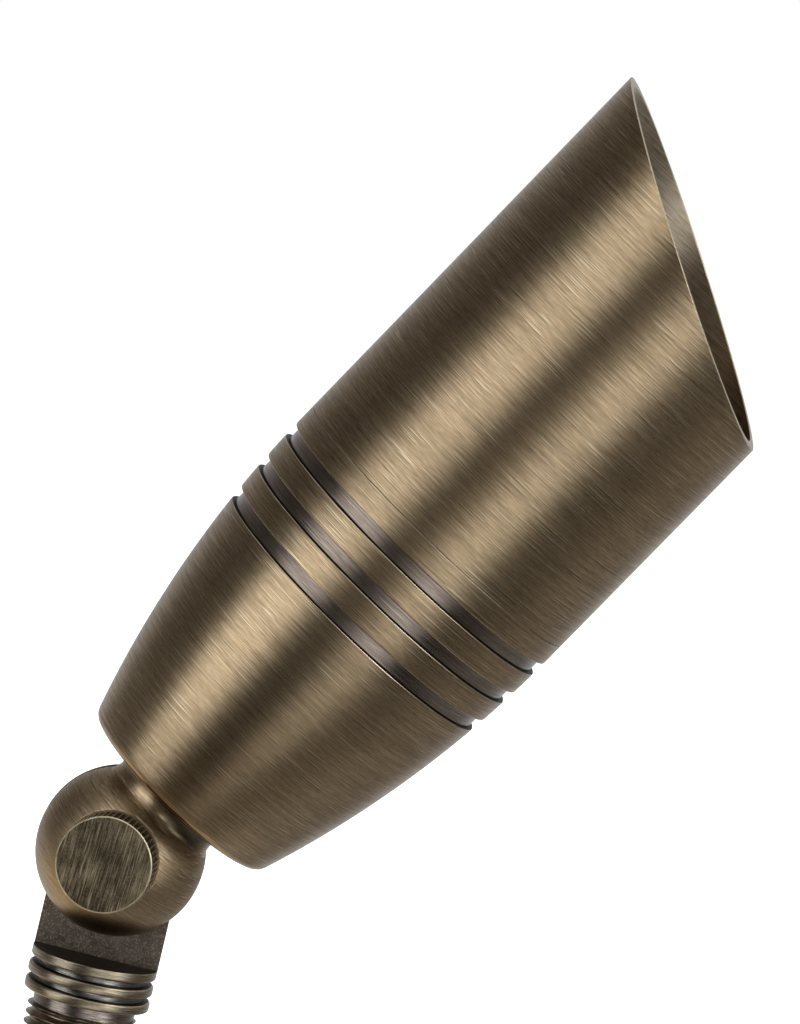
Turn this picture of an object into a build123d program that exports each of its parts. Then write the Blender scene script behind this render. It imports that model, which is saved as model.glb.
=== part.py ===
from build123d import *
import os
from math import cos, radians, sin, sqrt, tan

# A bullet spotlight on a half-lap knuckle. Millimetres, +Z up along the stem, origin at the
# centre of the stem's threaded end. The barrel leans towards +X and the thumb screw faces -Y.

# Gaps and fits
running_fit = 0.05
curved_gap = 0.35
lap_gap = 0.2
seat_gap = 0.1

# Stem: half-inch straight pipe thread, relief, three rings, half lap
stem_thread_radius = 10.45
stem_thread_length = 15.4
stem_end_chamfer = 1.0
stem_relief_radius = 9.6
stem_relief_length = 2.3
ring_radius = 11.84
ring_height = 1.85
ring_gap = 1.2
ring_count = 3
ring_groove_depth = 1.75
ring_edge_radius = 0.45
lap_drop = 20.4
wire_bore_radius = 6.5
wire_bore_cap = 6.0
wire_passage_radius = 3.0

# Knuckle
ball_radius = 15.85
neck_radius = 11.3
neck_length = 3.0
neck_blend = 0.8
ball_blend = 3.0
relief_gap = 0.6
boss_wall = 2.5
pocket_wall = 4.9
pocket_land = 1.1
seal_land = 1.45
seal_width = 1.8
seal_depth = 1.2
seal_edge_radius = 0.3

# Thumb screw
screw_radius = 2.95
screw_head_radius = 8.9
screw_head_height = 7.6
screw_head_edge = 0.15
screw_reach = 9.0
screw_tip_gap = 2.0
seat_margin = 0.2
knurl_count = 54
knurl_radius = 0.45
knurl_depth = 0.38
washer_radius = 6.4
washer_thickness = 1.0
washer_bore_gap = 0.25
screw_seal_section = 0.8

# Lamp: 50 mm reflector, bi-pin base
lamp_rim_radius = 25.3
lamp_rim_height = 2.6
lamp_glass = 1.5
bowl_flare = 7.0
reflector_depth = 37.0
reflector_neck_radius = 8.0
reflector_neck_length = 6.0
lamp_base_height = 8.0
lamp_base_length = 15.0
lamp_base_width = 11.0
lamp_base_corner = 1.5
pin_radius = 0.75
pin_length = 7.0
pin_spacing = 5.33
capsule_radius = 4.2
capsule_length = 19.0
cover_glass_thickness = 1.2
cover_glass_recess = 0.6

# Socket, bracket and leads
socket_length = 21.0
socket_width = 11.0
socket_corner = 2.0
socket_height = 11.0
socket_screw_depth = 5.0
contact_wall = 0.6
contact_length = 8.0
bracket_height = 14.9
bracket_width = 11.0
bracket_strip = 1.0
bracket_foot = 5.4
bracket_clearance = 0.88
small_screw_radius = 1.2
small_screw_head_radius = 2.1
small_screw_head_height = 1.5
small_screw_length = 4.5
small_screw_margin = 0.4
small_screw_tip = 1.0
lead_radius = 1.0
lead_spacing = 3.4
lead_hole_margin = 0.6
lead_drop = 4.0
lead_bend_radius = 3.0
lead_end = 1.0
grommet_radius = 3.2
grommet_length = 7.0
grommet_flange_radius = 4.4
grommet_flange = 1.0

# Housing
lamp_clearance = 0.9
lamp_recess = 1.96
housing_wall = 5.55
floor_wall = 3.55
tail_wall = 3.4
tail_corner_radius = 2.0
rear_cone_angle = 10.0
straight_length = 2.86
cavity_bore_length = 33.0
spigot_length = 8.0
groove_count = 3
groove_width = 2.8
groove_pitch = 7.6
groove_depth = 1.0
groove_lead = 4.5
shroud_seal_section = 0.8
shroud_seal_lead = 1.0

# Shroud and lens
shroud_wall = 1.7
shroud_length = 67.1
shroud_cut_angle = 27.8
shroud_clock = -4.7
lens_thickness = 3.2
lens_margin = 0.5
gasket_thickness = 1.0
lip_width = 3.0
lip_height = 1.6

# Pose at rest
rest_tilt = 30.7

# Heights along the stem
collar_base = stem_thread_length + stem_relief_length
ring_pitch = ring_height + ring_gap
ledge = collar_base + (ring_count - 1) * ring_pitch + ring_height
pivot_height = ledge + lap_drop
wire_bore_top = ledge - wire_bore_cap
pivot = (0, 0, pivot_height)

# Knuckle sizes
seat_radius = screw_head_radius + seat_margin
ball_flat = sqrt(ball_radius**2 - seat_radius**2)
boss_radius = screw_radius + boss_wall
seal_outer_radius = ball_radius - seal_land
seal_inner_radius = seal_outer_radius - seal_width
pocket_radius = seal_inner_radius - pocket_land
pocket_depth = ball_flat - pocket_wall
passage_offset = lap_gap / 2 + pocket_depth / 2 + curved_gap
passage_depth = (pocket_radius + boss_radius) / 2
screw_hole_radius = screw_radius + curved_gap
screw_seal_radius = screw_radius + running_fit + screw_seal_section
screw_seal_seat = 2 * screw_seal_section + running_fit
recess_ceiling = washer_thickness + 2 * running_fit

# Stations along the barrel, counted from the pivot
relief_radius = ball_radius + relief_gap
floor = relief_radius + floor_wall
bracket_top = floor + bracket_height
socket_top = bracket_top + socket_height
lamp_length = reflector_depth + lamp_base_height
lamp_front = socket_top + lamp_length
spigot_front = lamp_front + lamp_recess
seam = spigot_front - spigot_length
shoulder = seam - straight_length
lens_back = spigot_front + gasket_thickness
lens_front = lens_back + lens_thickness
lip_back = lens_front + seat_gap
mouth = seam + shroud_length

# Places of the small screws, the contacts and the wire hole's seal
foot_screw_spacing = socket_length + 2 * (small_screw_head_radius + small_screw_margin)
socket_screw_inset = small_screw_head_radius + curved_gap + small_screw_margin
socket_screw_spacing = socket_length - 2 * socket_screw_inset
contact_radius = pin_radius + running_fit + contact_wall
contact_bottom = socket_top - contact_length
grommet_bottom = floor - grommet_length

# Barrel radii
cavity_radius = lamp_rim_radius + lamp_clearance
barrel_radius = cavity_radius + housing_wall
shroud_bore_radius = barrel_radius - shroud_wall
spigot_radius = shroud_bore_radius - running_fit
shroud_seal_radius = spigot_radius - curved_gap - shroud_seal_section
shroud_seal_station = seam + shroud_seal_lead + shroud_seal_section
seal_groove_radius = shroud_seal_radius - shroud_seal_section - running_fit
seal_groove_width = 2 * (shroud_seal_section + running_fit)
lens_radius = shroud_bore_radius - lens_margin
bracket_reach = socket_length / 2 + bracket_foot
cavity_tail_radius = sqrt(bracket_reach**2 + (bracket_width / 2) ** 2) + bracket_clearance
tail_radius = cavity_tail_radius + tail_wall
tail_drop = barrel_radius - tail_radius
neck_start = sqrt(ball_radius**2 - neck_radius**2)
neck_end = neck_start + neck_length
tail = neck_end + (tail_radius - neck_radius) * tan(radians(rear_cone_angle))
cavity_bore_end = spigot_front - cavity_bore_length
taper_length = shoulder - tail
taper_radius = (taper_length**2 + tail_drop**2) / (2 * tail_drop)


def outer_radius(station):
    """Radius of the tapered body at a station behind the straight stretch."""
    behind = max(shoulder - station, 0)
    return barrel_radius - taper_radius + sqrt(taper_radius**2 - behind**2)


# Working planes: across the barrel, and through its axis with +Y of the sketch along it
lean = radians(rest_tilt)
barrel_direction = (sin(lean), 0, cos(lean))
barrel_side = (cos(lean), 0, -sin(lean))
barrel = Plane(origin=pivot, x_dir=barrel_side, z_dir=barrel_direction)
profile = Plane(origin=pivot, x_dir=barrel_side, z_dir=(0, -1, 0))
barrel_axis = Axis(pivot, barrel_direction)
stem_lap = Plane(origin=(0, lap_gap / 2, pivot_height), x_dir=(1, 0, 0), z_dir=(0, 1, 0))
head_lap = Plane(origin=(0, -lap_gap / 2, pivot_height), x_dir=(1, 0, 0), z_dir=(0, -1, 0))
ball_seat = Plane(origin=(0, -ball_flat, pivot_height), x_dir=(1, 0, 0), z_dir=(0, -1, 0))
standing = (Align.CENTER, Align.CENTER, Align.MIN)
domed = (Align.CENTER, Align.MIN, Align.CENTER)

# Stem: threaded end, relief and ringed collar, with the half lap and half ball on top
with BuildPart() as stem:
    Cylinder(stem_thread_radius, stem_thread_length, align=standing)
    chamfer(stem.edges().sort_by(Axis.Z)[0], stem_end_chamfer)
    with Locations((0, 0, stem_thread_length)):
        Cylinder(stem_relief_radius, stem_relief_length, align=standing)
    with Locations((0, 0, collar_base)):
        Cylinder(ring_radius - ring_groove_depth, ledge - collar_base, align=standing)
    for ring in range(ring_count):
        with Locations((0, 0, collar_base + ring * ring_pitch)):
            Cylinder(ring_radius, ring_height, align=standing)
    ring_edges = stem.edges().filter_by(GeomType.CIRCLE)
    ring_edges = ring_edges.filter_by(lambda edge: abs(edge.radius - ring_radius) < running_fit)
    fillet(ring_edges.sort_by(Axis.Z)[:-1], ring_edge_radius)
    with BuildSketch(Plane.XY.offset(ledge)):
        Circle(ring_radius)
        with Locations((0, lap_gap / 2)):
            Rectangle(2 * ring_radius, ring_radius, align=(Align.CENTER, Align.MIN), mode=Mode.INTERSECT)
    extrude(amount=lap_drop)
    with Locations(stem_lap.origin):
        Sphere(ball_radius, arc_size3=180, align=domed)
    with BuildSketch(stem_lap):
        Circle(pocket_radius)
        Circle(boss_radius, mode=Mode.SUBTRACT)
    extrude(amount=pocket_depth, mode=Mode.SUBTRACT)
    with BuildSketch(stem_lap):
        Circle(seal_outer_radius)
        Circle(seal_inner_radius, mode=Mode.SUBTRACT)
    extrude(amount=seal_depth, mode=Mode.SUBTRACT)
    with BuildSketch(stem_lap):
        Circle(screw_radius + running_fit)
    extrude(amount=screw_reach + screw_tip_gap, mode=Mode.SUBTRACT)
    with BuildSketch():
        Circle(wire_bore_radius)
    extrude(amount=wire_bore_top, mode=Mode.SUBTRACT)
    with BuildSketch(Plane.XY.offset(wire_bore_top)):
        with Locations((0, passage_offset)):
            Circle(wire_passage_radius)
    extrude(amount=pivot_height - passage_depth - wire_bore_top, mode=Mode.SUBTRACT)

# Knuckle seal: ring in the stem's lap face that meets the head's lap face
with BuildPart() as knuckle_seal:
    with BuildSketch(stem_lap.offset(seal_depth)):
        Circle(seal_outer_radius - running_fit)
        Circle(seal_inner_radius + running_fit, mode=Mode.SUBTRACT)
    extrude(amount=running_fit - seal_depth - lap_gap)
    fillet(knuckle_seal.edges(), seal_edge_radius)

# Lamp housing: half ball, neck, tapered body and front spigot, bored out for the lamp
with BuildPart() as lamp_housing:
    with BuildSketch(profile) as body_section:
        with BuildLine():
            ThreePointArc((0, -ball_radius), (ball_radius, 0), (neck_radius, neck_start))
            Polyline((neck_radius, neck_start), (neck_radius, neck_end), (tail_radius, tail))
            TangentArc((barrel_radius, shoulder), (tail_radius, tail), tangent=(0, -1))
            Polyline(
                (barrel_radius, shoulder),
                (barrel_radius, seam),
                (spigot_radius, seam),
                (spigot_radius, spigot_front),
                (cavity_radius, spigot_front),
                (cavity_radius, cavity_bore_end),
            )
            TangentArc((cavity_radius, cavity_bore_end), (cavity_tail_radius, floor), tangent=(0, -1))
            Polyline((cavity_tail_radius, floor), (0, floor), (0, -ball_radius))
        make_face()
        fillet(body_section.vertices().sort_by_distance((tail_radius, tail))[0], tail_corner_radius)
        fillet(body_section.vertices().sort_by_distance((neck_radius, neck_end))[0], neck_blend)
        fillet(body_section.vertices().sort_by_distance((neck_radius, neck_start))[0], ball_blend)
    revolve(axis=barrel_axis)
    with BuildSketch(profile):
        for groove in range(groove_count):
            station = seam - groove_lead - groove_width / 2 - groove * groove_pitch
            with Locations((outer_radius(station) - groove_depth, station)):
                Rectangle(2 * groove_depth, groove_width, align=(Align.MIN, Align.CENTER))
    revolve(axis=barrel_axis, mode=Mode.SUBTRACT)
    with BuildSketch(profile):
        with Locations((seal_groove_radius, shroud_seal_station)):
            Rectangle(spigot_length, seal_groove_width, align=(Align.MIN, Align.CENTER))
    revolve(axis=barrel_axis, mode=Mode.SUBTRACT)
    with Locations(head_lap.origin):
        Sphere(relief_radius, arc_size3=180, align=domed, mode=Mode.SUBTRACT)
    with BuildSketch(ball_seat):
        Circle(seat_radius + seat_margin)
    extrude(amount=ball_radius, mode=Mode.SUBTRACT)
    with BuildSketch(head_lap):
        Circle(pocket_radius)
        Circle(boss_radius, mode=Mode.SUBTRACT)
    extrude(amount=pocket_depth, mode=Mode.SUBTRACT)
    with BuildSketch(head_lap):
        Circle(screw_hole_radius)
    extrude(amount=ball_radius, mode=Mode.SUBTRACT)
    with BuildSketch(ball_seat):
        Circle(screw_seal_radius + screw_seal_section + running_fit)
    extrude(amount=-screw_seal_seat, mode=Mode.SUBTRACT)
    with BuildSketch(barrel.offset(floor)):
        with Locations((0, -passage_offset)):
            Circle(grommet_radius + running_fit)
    extrude(amount=passage_depth - floor, mode=Mode.SUBTRACT)
    with BuildSketch(barrel.offset(floor)):
        with GridLocations(foot_screw_spacing, 0, 2, 1):
            Circle(small_screw_radius + running_fit)
    extrude(amount=-small_screw_length, mode=Mode.SUBTRACT)

# Screw seal: ring round the shank in the ball's seat
with BuildPart() as screw_seal:
    with BuildSketch(Plane(origin=pivot, x_dir=(1, 0, 0), z_dir=(0, 0, 1))):
        with Locations((screw_seal_radius, screw_seal_section - ball_flat)):
            Circle(screw_seal_section)
    revolve(axis=Axis(pivot, (0, 1, 0)))

# Thumb screw washer: flat ring inside the head's recess
with BuildPart() as thumb_screw_washer:
    with BuildSketch(ball_seat.offset(running_fit)):
        Circle(washer_radius)
        Circle(screw_radius + washer_bore_gap, mode=Mode.SUBTRACT)
    extrude(amount=washer_thickness)

# Thumb screw: knurled head with a recess for the washer, and a plain shank
with BuildPart() as thumb_screw:
    with BuildSketch(ball_seat.offset(seat_gap)):
        Circle(screw_head_radius)
    extrude(amount=screw_head_height)
    chamfer(thumb_screw.edges().group_by(Axis.Y)[0], screw_head_edge)
    with BuildSketch(ball_seat.offset(seat_gap)):
        with PolarLocations(screw_head_radius + knurl_radius - knurl_depth, knurl_count):
            Circle(knurl_radius)
    extrude(amount=screw_head_height, mode=Mode.SUBTRACT)
    with BuildSketch(ball_seat.offset(seat_gap)):
        Circle(washer_radius + running_fit)
    extrude(amount=recess_ceiling - seat_gap, mode=Mode.SUBTRACT)
    with BuildSketch(ball_seat.offset(recess_ceiling)):
        Circle(screw_radius)
    extrude(amount=-(recess_ceiling + ball_flat + screw_reach))

# Shroud: slant-cut tube with an inner lip over the lens
with BuildPart() as shroud:
    shroud_top = mouth + barrel_radius
    with BuildSketch(profile):
        with Locations((shroud_bore_radius, seam + seat_gap)):
            Rectangle(shroud_wall, shroud_top - seam, align=(Align.MIN, Align.MIN))
        with Locations((barrel_radius, lip_back)):
            Rectangle(shroud_wall + lip_width, lip_height, align=(Align.MAX, Align.MIN))
    revolve(axis=barrel_axis)
    long_side = Vector(barrel_side).rotate(barrel_axis, 180 + shroud_clock)
    cut_normal = Vector(barrel_direction) - long_side * tan(radians(shroud_cut_angle))
    split(bisect_by=Plane(origin=barrel.offset(mouth).origin, z_dir=cut_normal), keep=Keep.BOTTOM)

# Shroud seal: ring on the spigot
with BuildPart() as shroud_seal:
    with BuildSketch(profile):
        with Locations((shroud_seal_radius, shroud_seal_station)):
            Circle(shroud_seal_section)
    revolve(axis=barrel_axis)

# Lens and its gasket on the spigot's front face
with BuildPart() as lens_gasket:
    with BuildSketch(barrel.offset(spigot_front)):
        Circle(lens_radius)
        Circle(cavity_radius, mode=Mode.SUBTRACT)
    extrude(amount=gasket_thickness)

with BuildPart() as lens:
    with BuildSketch(barrel.offset(lens_back)):
        Circle(lens_radius)
    extrude(amount=lens_thickness)

# Lamp reflector: glass bowl with a stepped rim for its front disc, and a short neck
reflector_back = lamp_front - reflector_depth
bowl_back = reflector_back + reflector_neck_length
bowl_front = lamp_front - lamp_rim_height
glass_back = lamp_front - cover_glass_recess - cover_glass_thickness
step_radius = lamp_rim_radius - lamp_glass
bowl_radius = step_radius - lamp_glass
neck_hole = capsule_radius + running_fit
flare = (-sin(radians(bowl_flare)), -cos(radians(bowl_flare)))
with BuildPart() as lamp_reflector:
    with BuildSketch(profile):
        with BuildLine():
            Polyline(
                (neck_hole, bowl_back + lamp_glass),
                (neck_hole, reflector_back),
                (reflector_neck_radius, reflector_back),
                (reflector_neck_radius, bowl_back),
            )
            TangentArc((step_radius, bowl_front), (reflector_neck_radius, bowl_back), tangent=flare)
            Polyline(
                (step_radius, bowl_front),
                (lamp_rim_radius, bowl_front),
                (lamp_rim_radius, lamp_front),
                (step_radius, lamp_front),
                (step_radius, glass_back),
                (bowl_radius, glass_back),
            )
            TangentArc((bowl_radius, glass_back), (neck_hole, bowl_back + lamp_glass), tangent=flare)
        make_face()
    revolve(axis=barrel_axis)

# Lamp cover glass: disc on the step of the rim
with BuildPart() as lamp_cover_glass:
    with BuildSketch(barrel.offset(glass_back)):
        Circle(step_radius - running_fit)
    extrude(amount=cover_glass_thickness)

# Lamp capsule: quartz tube with a domed tip, standing on the base
with BuildPart() as lamp_capsule:
    with BuildSketch(profile):
        with BuildLine():
            Polyline(
                (0, reflector_back + capsule_length),
                (0, reflector_back),
                (capsule_radius, reflector_back),
                (capsule_radius, reflector_back + capsule_length - capsule_radius),
            )
            RadiusArc(
                (capsule_radius, reflector_back + capsule_length - capsule_radius),
                (0, reflector_back + capsule_length),
                -capsule_radius,
            )
        make_face()
    revolve(axis=barrel_axis)

# Lamp base: ceramic block behind the reflector
with BuildPart() as lamp_base:
    with BuildSketch(barrel.offset(socket_top)):
        RectangleRounded(lamp_base_length, lamp_base_width, lamp_base_corner)
    extrude(amount=lamp_base_height)

# Lamp pins: a pair, pushed into the socket's contacts
with BuildPart() as lamp_pins:
    with BuildSketch(barrel.offset(socket_top)):
        with GridLocations(pin_spacing, 0, 2, 1):
            Circle(pin_radius)
    extrude(amount=-pin_length)

# Lamp socket: ceramic block with two contact holes, two lead holes and two sunk screw holes
with BuildPart() as lamp_socket:
    with BuildSketch(barrel.offset(bracket_top)):
        RectangleRounded(socket_length, socket_width, socket_corner)
    extrude(amount=socket_height)
    with BuildSketch(barrel.offset(socket_top)):
        with GridLocations(pin_spacing, 0, 2, 1):
            Circle(contact_radius + running_fit)
    extrude(amount=-contact_length, mode=Mode.SUBTRACT)
    with BuildSketch(barrel.offset(bracket_top)):
        with GridLocations(pin_spacing, 0, 2, 1):
            Circle(lead_radius + running_fit)
        with GridLocations(socket_screw_spacing, 0, 2, 1):
            Circle(small_screw_radius + curved_gap)
    extrude(amount=socket_height, mode=Mode.SUBTRACT)
    with BuildSketch(barrel.offset(socket_top)):
        with GridLocations(socket_screw_spacing, 0, 2, 1):
            Circle(small_screw_head_radius + curved_gap)
    extrude(amount=-socket_screw_depth, mode=Mode.SUBTRACT)

# Socket contacts: a pair of sleeves round the lamp pins
with BuildPart() as socket_contacts:
    with BuildSketch(barrel.offset(contact_bottom)):
        with GridLocations(pin_spacing, 0, 2, 1):
            Circle(contact_radius)
            Circle(pin_radius + running_fit, mode=Mode.SUBTRACT)
    extrude(amount=contact_length)

# Socket bracket: strip bent into a hat, feet on the housing floor
with BuildPart() as socket_bracket:
    with BuildSketch(profile):
        with Locations((0, bracket_top)):
            Rectangle(socket_length, bracket_strip, align=(Align.CENTER, Align.MAX))
        with Locations((socket_length / 2, floor)):
            Rectangle(bracket_strip, bracket_height, align=(Align.MAX, Align.MIN))
            Rectangle(bracket_foot, bracket_strip, align=(Align.MIN, Align.MIN))
        mirror(about=Plane.YZ)
    extrude(amount=bracket_width / 2, both=True)
    with BuildSketch(barrel.offset(bracket_top)):
        with GridLocations(pin_spacing, 0, 2, 1):
            Circle(lead_radius + lead_hole_margin)
        with GridLocations(socket_screw_spacing, 0, 2, 1):
            Circle(small_screw_radius + running_fit)
    extrude(amount=-bracket_strip, mode=Mode.SUBTRACT)
    with BuildSketch(barrel.offset(floor)):
        with GridLocations(foot_screw_spacing, 0, 2, 1):
            Circle(small_screw_radius + running_fit)
    extrude(amount=bracket_strip, mode=Mode.SUBTRACT)

# Socket screws: a pair through the socket into the bracket
socket_screw_seat = socket_top - socket_screw_depth
with BuildPart() as socket_screws:
    with BuildSketch(barrel.offset(socket_screw_seat)):
        with GridLocations(socket_screw_spacing, 0, 2, 1):
            Circle(small_screw_head_radius)
    extrude(amount=small_screw_head_height)
    with BuildSketch(barrel.offset(socket_screw_seat)):
        with GridLocations(socket_screw_spacing, 0, 2, 1):
            Circle(small_screw_radius)
    extrude(amount=bracket_top - bracket_strip - small_screw_tip - socket_screw_seat)

# Bracket screws: a pair through the feet into the housing floor
with BuildPart() as bracket_screws:
    with BuildSketch(barrel.offset(floor + bracket_strip)):
        with GridLocations(foot_screw_spacing, 0, 2, 1):
            Circle(small_screw_head_radius)
    extrude(amount=small_screw_head_height)
    with BuildSketch(barrel.offset(floor + bracket_strip)):
        with GridLocations(foot_screw_spacing, 0, 2, 1):
            Circle(small_screw_radius)
    extrude(amount=-small_screw_length)

# Wire grommet: rubber plug with a flange on the housing floor and two lead holes
with BuildPart() as wire_grommet:
    with BuildSketch(barrel.offset(grommet_bottom)):
        with Locations((0, -passage_offset)):
            Circle(grommet_radius)
    extrude(amount=grommet_length)
    with BuildSketch(barrel.offset(floor)):
        with Locations((0, -passage_offset)):
            Circle(grommet_flange_radius)
    extrude(amount=grommet_flange)
    with BuildSketch(barrel.offset(grommet_bottom)):
        with Locations((0, -passage_offset)):
            with GridLocations(lead_spacing, 0, 2, 1):
                Circle(lead_radius + running_fit)
    extrude(amount=grommet_length + grommet_flange, mode=Mode.SUBTRACT)

# Lamp leads: a pair from the contacts down through the bracket and the grommet
with BuildPart() as lamp_leads:
    for side in (-1, 1):
        contact_side = side * pin_spacing / 2
        hole_side = side * lead_spacing / 2
        with BuildLine(barrel) as route:
            FilletPolyline(
                (contact_side, 0, contact_bottom),
                (contact_side, 0, bracket_top - bracket_strip - lead_drop),
                (hole_side, -passage_offset, floor + grommet_flange + lead_drop),
                (hole_side, -passage_offset, grommet_bottom - lead_end),
                radius=lead_bend_radius,
            )
        with BuildSketch(barrel.offset(contact_bottom)):
            with Locations((contact_side, 0)):
                Circle(lead_radius)
        sweep(path=route.wires()[0])

pieces = {
    "stem": stem,
    "knuckle_seal": knuckle_seal,
    "lamp_housing": lamp_housing,
    "screw_seal": screw_seal,
    "thumb_screw_washer": thumb_screw_washer,
    "thumb_screw": thumb_screw,
    "shroud": shroud,
    "shroud_seal": shroud_seal,
    "lens_gasket": lens_gasket,
    "lens": lens,
    "lamp_reflector": lamp_reflector,
    "lamp_cover_glass": lamp_cover_glass,
    "lamp_capsule": lamp_capsule,
    "lamp_base": lamp_base,
    "lamp_pins": lamp_pins,
    "lamp_socket": lamp_socket,
    "socket_contacts": socket_contacts,
    "socket_bracket": socket_bracket,
    "socket_screws": socket_screws,
    "bracket_screws": bracket_screws,
    "wire_grommet": wire_grommet,
    "lamp_leads": lamp_leads,
}
os.makedirs("parts", exist_ok=True)
for name, piece in pieces.items():
    piece.part.label = name
    export_step(piece.part, f"parts/{name}.step")
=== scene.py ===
from functools import partial
from math import atan2, cos, degrees, pi, radians, sin, sqrt, tan

import bmesh
import bpy
from mathutils import Euler, Matrix, Vector


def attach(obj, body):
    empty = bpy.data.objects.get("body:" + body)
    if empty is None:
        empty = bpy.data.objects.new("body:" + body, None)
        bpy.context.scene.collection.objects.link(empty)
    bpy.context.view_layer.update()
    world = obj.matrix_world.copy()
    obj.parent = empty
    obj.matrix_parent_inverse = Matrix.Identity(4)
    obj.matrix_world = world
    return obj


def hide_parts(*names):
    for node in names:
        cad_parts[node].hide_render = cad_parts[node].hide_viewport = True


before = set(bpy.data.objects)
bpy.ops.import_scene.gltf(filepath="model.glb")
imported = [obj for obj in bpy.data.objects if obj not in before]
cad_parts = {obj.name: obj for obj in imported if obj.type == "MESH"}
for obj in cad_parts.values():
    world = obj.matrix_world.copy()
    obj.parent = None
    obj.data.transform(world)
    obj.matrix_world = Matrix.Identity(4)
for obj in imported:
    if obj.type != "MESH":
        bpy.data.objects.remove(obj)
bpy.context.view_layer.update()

# Stem thread: a half-inch straight pipe thread, cut on the lower end of the brass stem.
# It screws into a ground stake or a junction box, and the supply lead comes up through its bore.
mm = 0.001
weld, sliver = 0.0002 * mm, 0.00005 * mm


def place(tree, kind, inputs=None, **settings):
    """Adds a node. An input is linked where its value is another node's socket, and set otherwise."""
    node = tree.nodes.new(kind)
    for setting, value in settings.items():
        setattr(node, setting, value)
    for key, value in (inputs or {}).items():
        if isinstance(value, bpy.types.NodeSocket):
            tree.links.new(value, node.inputs[key])
        else:
            node.inputs[key].default_value = value
    return node


def reckon(tree, operation, *values):
    """Adds a math node and gives its result."""
    return place(tree, "ShaderNodeMath", dict(enumerate(values)), operation=operation).outputs[0]


def open_tree(name, sizes):
    """Starts a geometry tree with named inputs, and gives the tree and its input sockets."""
    tree = bpy.data.node_groups.new(name, "GeometryNodeTree")
    for label, kind in sizes.items():
        tree.interface.new_socket(label, in_out="INPUT", socket_type="NodeSocket" + kind)
    tree.interface.new_socket("Mesh", in_out="OUTPUT", socket_type="NodeSocketGeometry")
    return tree, tree.nodes.new("NodeGroupInput").outputs


def close_tree(tree, mesh, material):
    """Ends a geometry tree: doubles merged, smooth, real geometry, one material."""
    merged = place(tree, "GeometryNodeMergeByDistance", {"Geometry": mesh, "Distance": weld})
    smooth = place(tree, "GeometryNodeSetShadeSmooth", {"Geometry": merged.outputs[0]})
    real = place(tree, "GeometryNodeRealizeInstances", {"Geometry": smooth.outputs[0]})
    dressed = place(tree, "GeometryNodeSetMaterial", {"Geometry": real.outputs[0], "Material": material})
    place(tree, "NodeGroupOutput", {"Mesh": dressed.outputs[0]})


thread_tree, made = open_tree("screw_thread", {
    "Crest Radius": "Float", "Depth": "Float", "Pitch": "Float", "Length": "Float",
    "Bore Radius": "Float", "End Chamfer": "Float", "Top Chamfer": "Float",
    "Steps Round": "Int", "Rows": "Int", "Material": "Material",
})
thread_math = partial(reckon, thread_tree)
sheet = place(thread_tree, "GeometryNodeMeshGrid", {
    "Size X": 1.0, "Size Y": 1.0,
    "Vertices X": thread_math("ADD", made["Steps Round"], 1),
    "Vertices Y": thread_math("ADD", made["Rows"], 3),
})
across = place(thread_tree, "ShaderNodeSeparateXYZ", {
    "Vector": place(thread_tree, "GeometryNodeInputPosition").outputs[0]}).outputs
turn_share = thread_math("ADD", across["X"], 0.5)
row = thread_math("ROUND", thread_math(
    "MULTIPLY", thread_math("ADD", across["Y"], 0.5), thread_math("ADD", made["Rows"], 2)))
length_share = place(thread_tree, "ShaderNodeClamp", {"Value": thread_math(
    "DIVIDE", thread_math("SUBTRACT", row, 1), thread_math("SUBTRACT", made["Rows"], 1))}).outputs[0]
# The first row and the last two lie in the bore. The last goes back to the first, which closes the wall.
back_home = thread_math("GREATER_THAN", row, thread_math("ADD", made["Rows"], 1.5))
height = thread_math("MULTIPLY", thread_math("MULTIPLY", length_share, made["Length"]),
                     thread_math("SUBTRACT", 1, back_home))
in_bore = thread_math("MAXIMUM", thread_math("LESS_THAN", row, 0.5),
                      thread_math("GREATER_THAN", row, thread_math("ADD", made["Rows"], 0.5)))
phase = thread_math("FRACT", thread_math(
    "SUBTRACT", thread_math("DIVIDE", height, made["Pitch"]), turn_share))
valley = thread_math("SUBTRACT", 1, thread_math(
    "ABSOLUTE", thread_math("SUBTRACT", thread_math("MULTIPLY", phase, 2), 1)))
flank = place(thread_tree, "ShaderNodeClamp", {
    "Value": thread_math("MULTIPLY_ADD", valley, 1.3, -0.12)}).outputs[0]
ridge = thread_math("SUBTRACT", made["Crest Radius"], thread_math("MULTIPLY", made["Depth"], flank))
for chamfer, from_end in (("End Chamfer", height),
                          ("Top Chamfer", thread_math("SUBTRACT", made["Length"], height))):
    ridge = thread_math("MINIMUM", ridge, thread_math(
        "ADD", thread_math("SUBTRACT", made["Crest Radius"], made[chamfer]), from_end))
radius = thread_math("ADD", thread_math("MULTIPLY", ridge, thread_math("SUBTRACT", 1, in_bore)),
                     thread_math("MULTIPLY", made["Bore Radius"], in_bore))
angle = thread_math("MULTIPLY", turn_share, 2 * pi)
wound_point = place(thread_tree, "ShaderNodeCombineXYZ", {
    "X": thread_math("MULTIPLY", radius, thread_math("COSINE", angle)),
    "Y": thread_math("MULTIPLY", radius, thread_math("SINE", angle)),
    "Z": height,
})
wound = place(thread_tree, "GeometryNodeSetPosition", {
    "Geometry": sheet.outputs["Mesh"], "Position": wound_point.outputs[0]})
close_tree(thread_tree, wound.outputs[0], made["Material"])


def shaped(name, mesh, tree, sizes):
    """A new object whose geometry tree gets its sizes by the sockets' identifiers."""
    piece = bpy.data.objects.new(name, mesh)
    bpy.context.scene.collection.objects.link(piece)
    shaping = piece.modifiers.new(tree.name, "NODES")
    shaping.node_group = tree
    for item in tree.interface.items_tree:
        if item.in_out == "INPUT" and item.name in sizes:
            shaping[item.identifier] = sizes[item.name]
    return piece


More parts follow.
